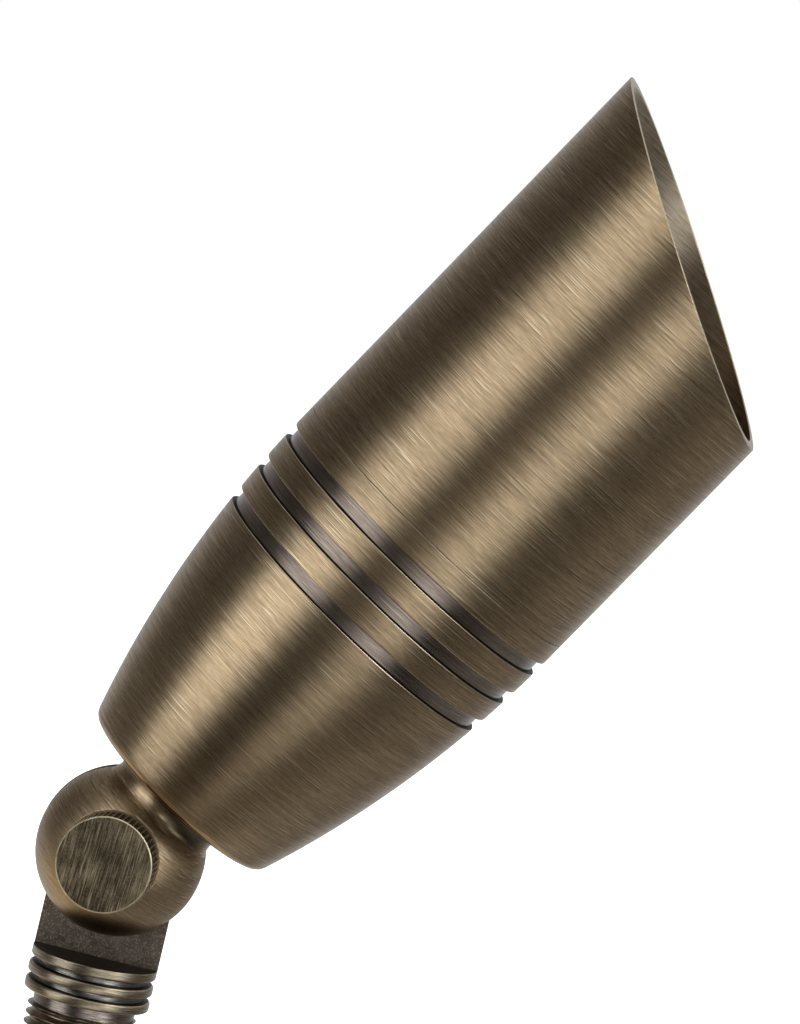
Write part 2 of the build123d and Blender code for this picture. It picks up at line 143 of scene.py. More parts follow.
def settle(piece, where=Matrix(), sharp=38):
    """Turns a piece into a plain closed mesh in its place, faces outward, creases kept sharp."""
    bpy.context.view_layer.update()
    graph = bpy.context.evaluated_depsgraph_get()
    mesh = bpy.data.meshes.new_from_object(piece.evaluated_get(graph), depsgraph=graph)
    piece.modifiers.clear()
    piece.data = mesh
    mesh.transform(where)
    work = bmesh.new()
    work.from_mesh(mesh)
    bmesh.ops.remove_doubles(work, verts=work.verts, dist=weld)
    bmesh.ops.dissolve_degenerate(work, edges=work.edges, dist=sliver)
    bmesh.ops.delete(work, geom=[e for e in work.edges if not e.link_faces], context="EDGES")
    bmesh.ops.recalc_face_normals(work, faces=work.faces)
    for face in work.faces:
        face.smooth = True
    work.to_mesh(mesh)
    work.free()
    mesh.set_sharp_from_angle(angle=radians(sharp))
    return piece


def even_shading(piece):
    """Large faces keep their own normals, and small rounded edges take the change."""
    piece.modifiers.new("even_shading", "WEIGHTED_NORMAL").keep_sharp = True


def noise(tree, where, scale, detail=2.0, rough=0.5):
    """Adds a noise pattern and gives its value."""
    return place(tree, "ShaderNodeTexNoise", {
        "Vector": where, "Scale": scale, "Detail": detail, "Roughness": rough}).outputs[0]


def gone_from(tree, value, low, high, way="LINEAR"):
    """How far a value has gone from low to high, from 0 to 1."""
    return place(tree, "ShaderNodeMapRange", {
        "Value": value, "From Min": low, "From Max": high}, interpolation_type=way).outputs[0]


marks = bpy.data.node_groups.new("lathe_marks", "ShaderNodeTree")
marks_math = partial(reckon, marks)
marks.interface.new_socket("Along Axis", in_out="INPUT", socket_type="NodeSocketVector")
for label in ("Fine", "Hair", "Long", "Lean", "Scratch", "Score", "Cloud"):
    marks.interface.new_socket(label, in_out="OUTPUT", socket_type="NodeSocketFloat")
spun = marks.nodes.new("NodeGroupInput").outputs[0]
part = place(marks, "ShaderNodeSeparateXYZ", {"Vector": spun}).outputs
tiny = 0.00001
reach = marks_math("ADD", marks_math("SQRT", marks_math(
    "ADD", marks_math("MULTIPLY", part[0], part[0]), marks_math("MULTIPLY", part[1], part[1]))), tiny)
ring_x, ring_y = (marks_math("DIVIDE", part[i], reach) for i in (0, 1))
# The path grows along the axis and away from it, so flat faces get rings and sides get hoops.
path = marks_math("MULTIPLY_ADD", reach, 720.0, marks_math("MULTIPLY", part[2], 1000.0))


def streak(curl, fine, detail, shift, slide=0.0):
    """Noise that is drawn out round the axis: curl sets how short, fine how narrow."""
    drawn = place(marks, "ShaderNodeCombineXYZ", {
        "X": marks_math("MULTIPLY_ADD", ring_x, curl, shift),
        "Y": marks_math("MULTIPLY", ring_y, curl),
        "Z": marks_math("MULTIPLY_ADD", path, fine, slide)})
    return noise(marks, drawn.outputs[0], 1.0, detail, 0.6)


marks_out = marks.nodes.new("NodeGroupOutput").inputs
for label, strokes in (("Fine", (3.2, 5.4, 0.0, 0.0)), ("Hair", (17.0, 4.6, 0.5, 67.0)),
                       ("Long", (1.2, 1.7, 1.0, 11.0)), ("Lean", (1.9, 4.4, 0.5, 51.0))):
    marks.links.new(streak(*strokes), marks_out[label])
for label, slide in (("Scratch", 0.0), ("Score", 0.8)):
    marks.links.new(gone_from(marks, streak(4.0, 5.0, 0.0, 23.0, slide), 0.63, 0.80), marks_out[label])
marks.links.new(noise(marks, spun, 55.0, 3.0), marks_out["Cloud"])


def blend_colour(tree, share, first, second, way="MIX"):
    """Mixes two colours by a share."""
    node = place(tree, "ShaderNodeMix", data_type="RGBA", blend_type=way)
    for socket, value in zip((node.inputs[0], node.inputs[6], node.inputs[7]), (share, first, second)):
        if isinstance(value, bpy.types.NodeSocket):
            tree.links.new(value, socket)
        else:
            socket.default_value = value if isinstance(value, float) else (*value, 1.0)
    return node.outputs[2]


def new_finish(name, **sockets):
    """A material with one Principled shader, whose plain values are set on its own sockets."""
    finish = bpy.data.materials.new(name)
    finish.use_nodes = True
    tree = finish.node_tree
    shader = tree.nodes["Principled BSDF"]
    for key, value in sockets.items():
        shader.inputs[key.replace("_", " ").title().replace("Ior", "IOR")].default_value = value
    where = place(tree, "ShaderNodeTexCoord").outputs["Object"]
    return finish, tree, shader, where


def brushed_metal(name, axis, dark, light, bright, rough, grain):
    """Metal brushed round an axis: two tones, fine and long marks, bright scratches and dark scores."""
    origin, tilt = axis
    finish, tree, shader, where = new_finish(name, metallic=1.0)
    along = place(tree, "ShaderNodeMapping", {
        "Vector": where, "Location": origin, "Rotation": tilt}, vector_type="TEXTURE")
    marked = place(tree, "ShaderNodeGroup", {0: along.outputs[0]}, node_tree=marks).outputs
    # Noise averages a half, so this start puts the mean tone midway between dark and light.
    tone = -0.975
    for label, weight in (("Cloud", 0.35), ("Long", 0.6), ("Hair", 0.9), ("Fine", 1.1)):
        tone = reckon(tree, "MULTIPLY_ADD", marked[label], weight, tone)
    tone = place(tree, "ShaderNodeClamp", {"Value": tone}).outputs[0]
    base = blend_colour(tree, tone, dark, light)
    base = blend_colour(tree, reckon(tree, "MULTIPLY", marked["Score"], 0.5), base, dark, "MULTIPLY")
    base = blend_colour(tree, reckon(tree, "MULTIPLY", marked["Scratch"], 0.65), base, bright)
    tree.links.new(base, shader.inputs["Base Color"])
    tree.links.new(reckon(tree, "MULTIPLY_ADD", marked["Long"], -0.12, rough + 0.06),
                   shader.inputs["Roughness"])
    height = reckon(tree, "MULTIPLY_ADD", marked["Long"], 0.6, marked["Fine"])
    relief = place(tree, "ShaderNodeBump", {"Strength": grain, "Distance": 0.02 * mm, "Height": height})
    spindle_line = place(tree, "ShaderNodeVectorTransform", {
        "Vector": Euler(tilt).to_matrix() @ Vector((0, 0, 1))},
        vector_type="VECTOR", convert_from="OBJECT", convert_to="WORLD")
    round_about = place(tree, "ShaderNodeVectorMath", {
        0: spindle_line.outputs[0], 1: relief.outputs[0]}, operation="CROSS_PRODUCT")
    lean = reckon(tree, "MULTIPLY_ADD", marked["Lean"], 0.16 * grain, -0.08 * grain)
    leaning = place(tree, "ShaderNodeVectorMath", {
        0: round_about.outputs[0], 1: lean, 2: relief.outputs[0]}, operation="MULTIPLY_ADD")
    facing = place(tree, "ShaderNodeVectorMath", {0: leaning.outputs[0]}, operation="NORMALIZE")
    tree.links.new(facing.outputs[0], shader.inputs["Normal"])
    return finish


stem_axis = (0.0, 0.0, 0.0), (0.0, 0.0, 0.0)
thread_brass = brushed_metal("thread_brass", stem_axis, (0.15, 0.115, 0.085), (0.36, 0.285, 0.205),
                             (0.6, 0.49, 0.36), 0.30, 0.4)
stem_bore, thread_top = 6.5, 15.4
thread_start = radians(133)
stem_thread = shaped("stem_thread", bpy.data.meshes.new("stem_thread"), thread_tree, {
    "Crest Radius": 10.45 * mm, "Depth": 1.25 * mm, "Pitch": 1.814 * mm, "Length": thread_top * mm,
    "Bore Radius": stem_bore * mm, "End Chamfer": 1.0 * mm, "Top Chamfer": 0.35 * mm,
    "Steps Round": 144, "Rows": 150, "Material": thread_brass})
settle(stem_thread, Matrix.Rotation(thread_start, 4, "Z"))
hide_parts("stem")
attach(stem_thread, "stem")

# Stem: a cast half ball and flat tab over a turned collar of three rings, all one brass casting.
# Its lap face meets the lamp housing's half ball, and the thumb screw clamps the two together.
turning_tree, made = open_tree("turning", {
    "Outline": "Geometry", "Steps Round": "Int", "Corner Steps": "Int", "Material": "Material"})
drawn_line = place(turning_tree, "GeometryNodeMeshToCurve", {"Mesh": made["Outline"]})
corner = place(turning_tree, "GeometryNodeInputNamedAttribute", {
    "Name": "corner_round"}, data_type="FLOAT")
eased = place(turning_tree, "GeometryNodeFilletCurve", {
    "Curve": drawn_line.outputs[0], "Count": made["Corner Steps"], "Radius": corner.outputs[0],
    "Limit Radius": True}, mode="POLY")
# The outline goes round a wide ring and is laid back by the ring's radius, so it turns about the axis.
spindle = 0.1
laid = place(turning_tree, "GeometryNodeTransform", {
    "Geometry": eased.outputs[0], "Rotation": (pi / 2, 0, 0), "Translation": (-spindle, 0, 0)})
ring_path = place(turning_tree, "GeometryNodeCurvePrimitiveCircle", {
    "Resolution": made["Steps Round"], "Radius": spindle})
spun_skin = place(turning_tree, "GeometryNodeCurveToMesh", {
    "Curve": ring_path.outputs[0], "Profile Curve": laid.outputs[0]})
close_tree(turning_tree, spun_skin.outputs[0], made["Material"])


def outline_mesh(name, outline):
    """A closed outline of (radius, station, corner round) in millimetres, as a loop of edges."""
    mesh = bpy.data.meshes.new(name)
    count = len(outline)
    mesh.from_pydata([(p[0] * mm, 0, p[1] * mm) for p in outline],
                     [(i, (i + 1) % count) for i in range(count)], [])
    rounds = mesh.attributes.new("corner_round", "FLOAT", "POINT")
    rounds.data.foreach_set("value", [(p[2] if len(p) > 2 else 0.0) * mm for p in outline])
    return mesh


def turned(name, outline, where, material, steps=192, corner_steps=3, sharp=38):
    """A piece turned from an outline about its own axis, then put in its place."""
    piece = shaped(name, outline_mesh(name, outline), turning_tree, {
        "Steps Round": steps, "Corner Steps": corner_steps, "Material": material})
    return settle(piece, where, sharp)


def ring_tool(name, inner, outer, low, high, where, material, steps=192):
    """A plain ring between two stations, or a rod where inner is 0, for cutting or joining."""
    outline = [(inner, low), (outer, low), (outer, high), (inner, high)]
    return turned(name, outline, where, material, steps)


def arc(centre, radius, start, stop, steps):
    """Points of an arc in an outline, angles in degrees from the radial direction."""
    angles = [radians(start + (stop - start) * i / steps) for i in range(steps + 1)]
    return [(centre[0] + radius * cos(a), centre[1] + radius * sin(a)) for a in angles]


def carve(piece, tools, way="DIFFERENCE"):
    """Cuts tools from a piece, or joins them to it, and drops the tools."""
    for tool in tools:
        cut = piece.modifiers.new(tool.name, "BOOLEAN")
        cut.operation = way
        cut.solver = "EXACT"
        cut.object = tool
    settle(piece)
    for tool in tools:
        bpy.data.objects.remove(tool)


def block(name, low, high, material):
    """A plain box for cutting."""
    mesh = bpy.data.meshes.new(name)
    work = bmesh.new()
    bmesh.ops.create_cube(work, size=1.0)
    for vert in work.verts:
        vert.co = [(a + (b - a) * (c + 0.5)) * mm for a, b, c in zip(low, high, vert.co)]
    work.to_mesh(mesh)
    work.free()
    mesh.materials.append(material)
    piece = bpy.data.objects.new(name, mesh)
    bpy.context.scene.collection.objects.link(piece)
    return piece


pivot_height = 46.05
pivot = Vector((0, 0, pivot_height * mm))
knuckle = Matrix.Translation(pivot) @ Matrix.Rotation(pi / 2, 4, "X")
ball_radius, lap = 15.85, 0.1
collar_foot, collar_top = 17.7, 25.65
ring_radius, ring_root, ring_round, relief_radius = 11.84, 10.09, 0.42, 9.6
bore_end, tab_foot = 19.65, 25.6
shade_from, shade_to, groove_edge, margin = 10.12, 11.1, 10.2, 0.05

cast_brass, tree, shader, where = new_finish("cast_brass", metallic=1.0)
sand = noise(tree, where, 2400.0, 3.0, 0.7)
blotch = noise(tree, where, 420.0, 4.0)
speck = gone_from(tree, noise(tree, where, 2900.0, 1.0), 0.5, 0.72)
skin = blend_colour(tree, blotch, (0.035, 0.026, 0.019), (0.30, 0.228, 0.175))
skin = blend_colour(tree, reckon(tree, "MULTIPLY", speck, 0.55), skin, (0.50, 0.41, 0.33))
tree.links.new(skin, shader.inputs["Base Color"])
tree.links.new(reckon(tree, "MULTIPLY_ADD", sand, 0.25, 0.42), shader.inputs["Roughness"])
pits = place(tree, "ShaderNodeBump", {"Strength": 0.8, "Distance": 0.12 * mm, "Height": sand})
tree.links.new(pits.outputs[0], shader.inputs["Normal"])

ring_brass = brushed_metal("ring_brass", stem_axis, (0.23, 0.178, 0.118), (0.46, 0.362, 0.245),
                           (0.7, 0.58, 0.42), 0.29, 0.4)
groove_metal = brushed_metal("groove_metal", stem_axis, (0.12, 0.106, 0.094), (0.27, 0.24, 0.215),
                             (0.45, 0.41, 0.37), 0.24, 0.4)
relief_brass = brushed_metal("relief_brass", stem_axis, (0.17, 0.132, 0.108), (0.36, 0.285, 0.235),
                             (0.5, 0.42, 0.35), 0.26, 0.4)
ring_shade = brushed_metal("ring_shade", stem_axis, (0.03, 0.024, 0.018), (0.08, 0.062, 0.046),
                           (0.15, 0.12, 0.09), 0.5, 0.3)

stem_outline = [
    (0, collar_top), (0, bore_end), (stem_bore, bore_end), (stem_bore, thread_top),
    (relief_radius, thread_top), (relief_radius, collar_foot, 0.2),
    (ring_radius, collar_foot, ring_round)]
for start, stop in ((19.55, 20.75), (22.6, 23.8)):
    stem_outline += [(ring_radius, start, ring_round), (ring_root, start, 0.1),
                     (ring_root, stop, 0.1), (ring_radius, stop, ring_round)]
stem_outline += [(ring_radius, collar_top, 0.15)]
stem_body = turned("stem_body", stem_outline, Matrix(), ring_brass, corner_steps=4)
tab = ring_tool("tab", 0, ring_radius, tab_foot, pivot_height, Matrix(), cast_brass)
carve(tab, [block("tab_front", (-20, -20, 20), (20, lap, 60), cast_brass)])
half_ball = turned("half_ball", arc((0, 0), ball_radius, -90, -0.4, 48) + [(0, -lap)],
                   Matrix.Translation((0, 0, 0.25 * mm)) @ knuckle, cast_brass)
carve(stem_body, [tab, half_ball], "UNION")
pocket_inner, pocket_outer, pocket_depth = 5.45, 11.5, 8.18
overcut, lead_offset = 0.5, 4.488 * mm
carve(stem_body, [
    ring_tool("pocket", pocket_inner, pocket_outer, -pocket_depth, overcut, knuckle, cast_brass, 96),
    ring_tool("seal_groove", 12.6, 14.4, -1.3, overcut, knuckle, cast_brass),
    ring_tool("screw_hole", 0, 3.0, -11.1, overcut, knuckle, cast_brass, 64),
    ring_tool("lead_way", 0, 3.0, 19.0, 37.575, Matrix.Translation((0, lead_offset, 0)), cast_brass, 64)])


def paint(piece, pick, place_in=Matrix()):
    """Gives each face the finish that pick chooses from its centre and its distance from the axis."""
    finishes = []
    piece.data.materials.clear()
    for face in piece.data.polygons:
        centre = (place_in @ face.center) / mm
        finish = pick(centre, sqrt(centre.x**2 + centre.y**2))
        if finish not in finishes:
            finishes.append(finish)
            piece.data.materials.append(finish)
        face.material_index = finishes.index(finish)
    even_shading(piece)


def stem_finish(centre, off_axis):
    """Cast skin above the collar and painted shade on its top, turned rings with painted shade on their
    side walls, dark grooves, and plain relief below.
    """
    if centre.z > tab_foot:
        return cast_brass if centre.z > collar_top + margin else ring_shade
    if centre.z < collar_foot - margin:
        return relief_brass
    if shade_from < off_axis < shade_to:
        return ring_shade
    return groove_metal if off_axis < groove_edge else ring_brass


paint(stem_body, stem_finish)
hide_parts("stem")
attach(stem_body, "stem")

# Knuckle seal: a flat rubber ring with rounded edges, pressed into the stem's lap face.
# The lamp housing's half ball turns against it, and it keeps rain out of the lead's way.


def moulded(name, dark, light, rough, grain):
    """Rubber, ceramic or insulation: a mottled skin with a fine grain."""
    finish, tree, shader, where = new_finish(name)
    skin = noise(tree, where, grain, 4.0)
    tree.links.new(blend_colour(tree, skin, dark, light), shader.inputs["Base Color"])
    tree.links.new(reckon(tree, "MULTIPLY_ADD", skin, 0.24, rough - 0.12), shader.inputs["Roughness"])
    bumps = place(tree, "ShaderNodeBump", {"Strength": 0.3, "Distance": 0.03 * mm, "Height": skin})
    tree.links.new(bumps.outputs[0], shader.inputs["Normal"])
    return finish


def dress(finish, *names):
    """Gives a finish to solids that keep the shape they have."""
    for name in names:
        for place_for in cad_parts[name].material_slots:
            place_for.material = finish


seal_rubber = moulded("seal_rubber", (0.012, 0.012, 0.013), (0.035, 0.034, 0.033), 0.55, 1800.0)
dress(seal_rubber, "knuckle_seal")

# Lamp housing: turned from brass bar, with a half ball, a neck and a long taper with three
# grooves. Its front spigot carries the shroud's thread, and the lamp stands in its bore.
rest_tilt = radians(30.7)
barrel = Matrix.Translation(pivot) @ Matrix.Rotation(rest_tilt, 4, "Y")
barrel_radius = 31.75
tail_radius, tail_station = 21.1, 15.84
shoulder, seam = 82.0, 84.86
taper_drop = barrel_radius - tail_radius
taper_run = shoulder - tail_station
taper_radius = (taper_run**2 + taper_drop**2) / (2 * taper_drop)


def taper(station):
    """Radius of the tapered body at a station along the barrel."""
    behind = max(shoulder - station, 0)
    return barrel_radius - taper_radius + sqrt(taper_radius**2 - behind**2)


barrel_axis = tuple(pivot), (0.0, rest_tilt, 0.0)
barrel_tones = (0.25, 0.175, 0.101), (0.54, 0.378, 0.219), (0.8, 0.64, 0.43), 0.28, 0.5
barrel_brass = brushed_metal("barrel_brass", barrel_axis, *barrel_tones)
ball_brass = brushed_metal("ball_brass", barrel_axis, (0.27, 0.19, 0.11), (0.50, 0.352, 0.204),
                           (0.68, 0.52, 0.34), 0.40, 0.3)
groove_brass = brushed_metal("groove_brass", barrel_axis, (0.18, 0.136, 0.106), (0.36, 0.276, 0.218),
                             (0.5, 0.41, 0.34), 0.22, 0.3)
# Groove shade is painted shadow: near-black brass on each groove's tail-side wall and on a strip of floor
# beside it.
groove_shade = brushed_metal("groove_shade", barrel_axis, (0.012, 0.009, 0.007), (0.035, 0.027, 0.02),
                             (0.12, 0.095, 0.07), 0.5, 0.3)
recess_patina = brushed_metal("recess_patina", barrel_axis, (0.22, 0.19, 0.142), (0.42, 0.37, 0.285),
                              (0.55, 0.48, 0.38), 0.42, 0.3)
# Edge brass is a painted highlight: paler brass on the rounded edges of the grooves and the seam.
edge_highlight_brass = brushed_metal("edge_highlight_brass", barrel_axis, (0.50, 0.39, 0.27), (0.76, 0.62, 0.45),
                           (0.85, 0.74, 0.56), 0.26, 0.3)
bore_brass = brushed_metal("bore_brass", barrel_axis, (0.27, 0.208, 0.142), (0.6, 0.475, 0.335),
                           (0.72, 0.59, 0.44), 0.34, 0.35)

# The neck is the barrel's brass with a soft patch of painted shade on its lower side, which fades out
# towards the ball.
neck_shaded_brass = brushed_metal("neck_shaded_brass", barrel_axis, *barrel_tones)
tree, shader = neck_shaded_brass.node_tree, neck_shaded_brass.node_tree.nodes["Principled BSDF"]
on_neck = place(tree, "ShaderNodeSeparateXYZ", {"Vector": tree.nodes["Mapping"].outputs[0]}).outputs
turn = reckon(tree, "ARCTAN2", *(reckon(tree, "MULTIPLY", on_neck[i], -1.0) for i in (0, 1)))
shade_share = 0.82
for value, clean, full in ((turn, radians(-2), radians(-15)), (turn, radians(-80), radians(-50)),
                           (on_neck[2], 10.3 * mm, 11.6 * mm)):
    shade_share = reckon(tree, "MULTIPLY", shade_share, gone_from(tree, value, clean, full, "SMOOTHSTEP"))
clean_brass = shader.inputs["Base Color"].links[0].from_socket
shaded_neck = blend_colour(tree, shade_share, clean_brass, (0.045, 0.034, 0.022))
tree.links.new(shaded_neck, shader.inputs["Base Color"])

grooves = [(62.36, 65.16), (69.96, 72.76), (77.56, 80.36)]
groove_depth, edge, shadow_strip, facet = 1.0, 0.2, 0.26, 2.2
neck_radius, cove = 11.3, 3.0
cove_centre = (neck_radius + cove, sqrt((ball_radius + cove)**2 - (neck_radius + cove)**2))
cove_lean = degrees(atan2(cove_centre[1], cove_centre[0]))
outline = arc((0, 0), ball_radius, -90, cove_lean, 60)
outline += arc(cove_centre, cove, 180 + cove_lean, 164, 12)[1:]
outline += [(11.7, 14.11, 0.8), (tail_radius, tail_station, 2.0)]
stops = [tail_station] + [s for pair in grooves for s in pair] + [shoulder]
for number, (start, stop) in enumerate(zip(stops, stops[1:])):
    if number % 2 == 0:
        count = max(2, int((stop - start) / facet))
        stations = [start + (stop - start) * i / count for i in range(count + 1)]
        cut_ends = (0, count) if number < 2 * len(grooves) else (0,)
        run = [(taper(s), s, edge if i in cut_ends else 0.0) for i, s in enumerate(stations)]
        outline += run[1:] if number == 0 else run
    else:
        bed = taper((start + stop) / 2) - groove_depth
        outline += [(bed, start), (bed, start + shadow_strip), (bed, stop, 0.15)]
spigot_radius, spigot_groove, spigot_end = 29.2, 27.95, 92.83
outline += [
    (barrel_radius, seam, 0.1), (spigot_radius, seam), (spigot_radius, 85.81), (spigot_groove, 85.81),
    (spigot_groove, 87.51), (spigot_radius, 87.51), (spigot_radius, spigot_end, 0.3)]
cavity_start, cavity_radius, tail_bore, floor_station = 59.86, 26.2, 17.7, 20.0
bore_drop = cavity_radius - tail_bore
bore_run = cavity_start - floor_station
bore_curve = (bore_run**2 + bore_drop**2) / (2 * bore_drop)
bore_steps = 12
outline += [(cavity_radius, spigot_end, 0.3)]
outline += [(cavity_radius - bore_curve + sqrt(bore_curve**2 - (bore_run * i / bore_steps) ** 2),
             cavity_start - bore_run * i / bore_steps) for i in range(bore_steps + 1)]
outline += [(0, floor_station)]
housing = turned("housing_body", outline, barrel, barrel_brass, steps=256)
relief_ball = 16.45
carve(housing, [
    turned("ball_relief", [(0, lap)] + [(r, s + lap) for r, s in arc((0, 0), relief_ball, 0, -90, 48)],
           knuckle, cast_brass, 128),
    ring_tool("screw_seat", 0, 9.3, 12.977, 30, knuckle, barrel_brass, 128)])
through_floor = floor_station + 1
lead_side = barrel @ Matrix.Translation((0, -lead_offset, 0))
carve(housing, [
    ring_tool("pocket", pocket_inner, pocket_outer, -overcut, pocket_depth, knuckle, barrel_brass, 96),
    turned("screw_hole", [(0, -overcut), (3.3, -overcut), (3.3, 11.0), (4.65, 11.327), (4.65, 14),
                          (0, 14)], knuckle, barrel_brass, 64),
    ring_tool("lead_way", 0, 3.25, 8.475, through_floor, lead_side, bore_brass, 64),
    *(ring_tool(name, 0, 1.25, 15.5, through_floor, barrel @ Matrix.Translation((side * mm, 0, 0)),
                bore_brass, 32) for name, side in (("screw_way_a", 13.0), ("screw_way_b", -13.0)))])
ball_end, neck_end, recess_start, recess_end = 10.4, 14.2, 13.5, 15.7
neck_flare, wall, hair, seam_edge, seam_depth = 1.6, 2.2, 0.02, 0.1, 0.14


def housing_finish(centre, off_axis):
    """Ball, neck with painted shade on one side, recess behind the taper, grooves with painted shadow
    lines, painted highlights on the groove and seam edges, bore and brushed barrel.
    """
    depth_in = taper(centre.z) - off_axis
    for start, stop in grooves:
        if start - edge < centre.z < stop + edge and 0.3 * edge < depth_in < 2 * groove_depth:
            if centre.z < start - hair or centre.z > stop + hair:
                return edge_highlight_brass
            return groove_shade if centre.z < start + shadow_strip else groove_brass
    if abs(centre.z - seam) < seam_edge and depth_in < seam_depth:
        return edge_highlight_brass
    if centre.z < ball_end:
        return ball_brass
    if centre.z < neck_end and off_axis < neck_radius + neck_flare:
        return neck_shaded_brass
    if recess_start < centre.z < recess_end and neck_radius + 0.3 < off_axis < tail_radius - 1.2:
        return recess_patina
    return bore_brass if centre.z > floor_station - 0.1 and depth_in > wall else barrel_brass


to_barrel = barrel.inverted()
paint(housing, housing_finish, to_barrel)
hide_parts("lamp_housing")
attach(housing, "head")

spigot_thread = shaped("spigot_thread", bpy.data.meshes.new("spigot_thread"), thread_tree, {
    "Crest Radius": 29.98 * mm, "Depth": 0.7 * mm, "Pitch": 1.5 * mm, "Length": 5.0 * mm,
    "Bore Radius": 28.4 * mm, "End Chamfer": 0.4 * mm, "Top Chamfer": 0.5 * mm,
    "Steps Round": 220, "Rows": 60, "Material": bore_brass})
settle(spigot_thread, barrel @ Matrix.Translation((0, 0, 87.6 * mm)))
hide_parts("lamp_housing")
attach(spigot_thread, "head")

# Wire grommet and leads: a rubber plug in the housing floor, and two insulated copper leads.
# The leads run from the socket's contacts through the plug to the hollow of the knuckle.
lead_sleeve = moulded("lead_sleeve", (0.55, 0.53, 0.48), (0.70, 0.68, 0.62), 0.42, 900.0)
dress(seal_rubber, "wire_grommet")
dress(lead_sleeve, "lamp_leads")

# Socket bracket: a steel strip bent into a hat, its feet held to the housing floor by two screws.
# The lamp socket stands on its top.
strip_steel = brushed_metal("strip_steel", barrel_axis, (0.40, 0.40, 0.41), (0.62, 0.62, 0.63),
                            (0.8, 0.8, 0.8), 0.34, 0.35)
dress(strip_steel, "socket_bracket", "bracket_screws")

# Lamp socket: a white ceramic block on the bracket, with two brass contact sleeves for the pins.
# Two sunk screws hold it down.
socket_ceramic = moulded("socket_ceramic", (0.66, 0.64, 0.59), (0.78, 0.76, 0.71), 0.38, 700.0)
sleeve_brass = brushed_metal("sleeve_brass", barrel_axis, (0.52, 0.42, 0.22), (0.72, 0.60, 0.34),
                             (0.85, 0.74, 0.5), 0.26, 0.3)
dress(socket_ceramic, "lamp_socket", "lamp_base")
dress(sleeve_brass, "socket_contacts")
dress(strip_steel, "socket_screws", "lamp_pins")

# Lamp: a faceted mirror bowl of coated glass round a quartz capsule, closed by a glass disc.
# Its ceramic base is cemented on behind, and its two pins push into the socket.


def bowl_arc(start, stop, flare, steps):
    """An arc in an outline that leaves start at a flare from the axis and ends at stop."""
    inward = Vector((-cos(radians(flare)), sin(radians(flare))))
    span = Vector(stop) - Vector(start)
    radius = span.length_squared / (2 * span.dot(inward))
    centre = Vector(start) + radius * inward
    ends = [degrees(atan2(p[1] - centre.y, p[0] - centre.x)) for p in (start, stop)]
    return arc(centre, radius, *ends, steps)


def clear_glass(name, tint, bend):
    """Clear glass with a breath of dust on it. Bend is how strongly it turns light."""
    finish, tree, shader, where = new_finish(
        name, base_color=(*tint, 1.0), transmission_weight=1.0, ior=bend)
    dust = noise(tree, where, 900.0, 4.0)
    haze = place(tree, "ShaderNodeMapRange", {
        "Value": dust, "From Min": 0.55, "From Max": 0.8, "To Min": 0.01, "To Max": 0.08})
    tree.links.new(haze.outputs[0], shader.inputs["Roughness"])
    return finish


def glass_disc(name, radius, low, high, ground, glass):
    """A flat disc of glass across the barrel, its edge ground round."""
    disc = turned(name, [(0, low), (radius, low, ground), (radius, high, ground), (0, high)],
                  barrel, glass, 128)
    even_shading(disc)
    return disc


mirror_coat, tree, shader, where = new_finish("mirror_coat", metallic=1.0)
film = noise(tree, where, 120.0)
coat = blend_colour(tree, film, (0.78, 0.80, 0.84), (0.90, 0.88, 0.85))
tree.links.new(coat, shader.inputs["Base Color"])
tree.links.new(reckon(tree, "MULTIPLY_ADD", film, 0.12, 0.04), shader.inputs["Roughness"])
lamp_foot, bowl_seat = 53.9, 89.1
bowl_flare, bowl_steps = 7.0, 9
mirror_bowl = turned("mirror_bowl", bowl_arc((22.3, bowl_seat), (4.25, 61.4), bowl_flare, bowl_steps)
                     + [(4.25, lamp_foot), (8.0, lamp_foot)]
                     + bowl_arc((23.8, 88.3), (8.0, 59.9), bowl_flare, bowl_steps)[::-1]
                     + [(25.3, 88.3), (25.3, 90.9), (23.8, 90.9), (23.8, bowl_seat)],
                     barrel, mirror_coat, steps=40, sharp=3)
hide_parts("lamp_reflector")
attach(mirror_bowl, "head")

quartz = clear_glass("quartz", (0.98, 0.985, 0.99), 1.46)
capsule_radius, capsule_bore, dome_start = 4.2, 3.2, 68.7
capsule = turned("quartz_capsule", [(0, lamp_foot), (capsule_radius, lamp_foot, 0.3)]
                 + arc((0, dome_start), capsule_radius, 0, 90, 12)
                 + arc((0, dome_start), capsule_bore, 90, 0, 12)
                 + [(capsule_bore, 58.5, 1.0), (0, 57.5)], barrel, quartz, steps=64)
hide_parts("lamp_capsule")
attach(capsule, "head")

coil_tree, made = open_tree("coiled_wire", {
    "Legs": "Geometry", "Turns": "Float", "Coil Radius": "Float", "Length": "Float", "Start": "Vector",
    "Wire Radius": "Float", "Material": "Material"})
helix = place(coil_tree, "GeometryNodeCurveSpiral", {
    "Resolution": 14, "Rotations": made["Turns"], "Start Radius": made["Coil Radius"],
    "End Radius": made["Coil Radius"], "Height": made["Length"]})
raised = place(coil_tree, "GeometryNodeTransform", {
    "Geometry": helix.outputs[0], "Translation": made["Start"]})
standing = place(coil_tree, "GeometryNodeMeshToCurve", {"Mesh": made["Legs"]})
wires = place(coil_tree, "GeometryNodeJoinGeometry")
for wire in (standing, raised):
    coil_tree.links.new(wire.outputs[0], wires.inputs[0])
gauge = place(coil_tree, "GeometryNodeCurvePrimitiveCircle", {
    "Resolution": 7, "Radius": made["Wire Radius"]})
round_wire = place(coil_tree, "GeometryNodeCurveToMesh", {
    "Curve": wires.outputs[0], "Profile Curve": gauge.outputs[0], "Fill Caps": True})
close_tree(coil_tree, round_wire.outputs[0], made["Material"])

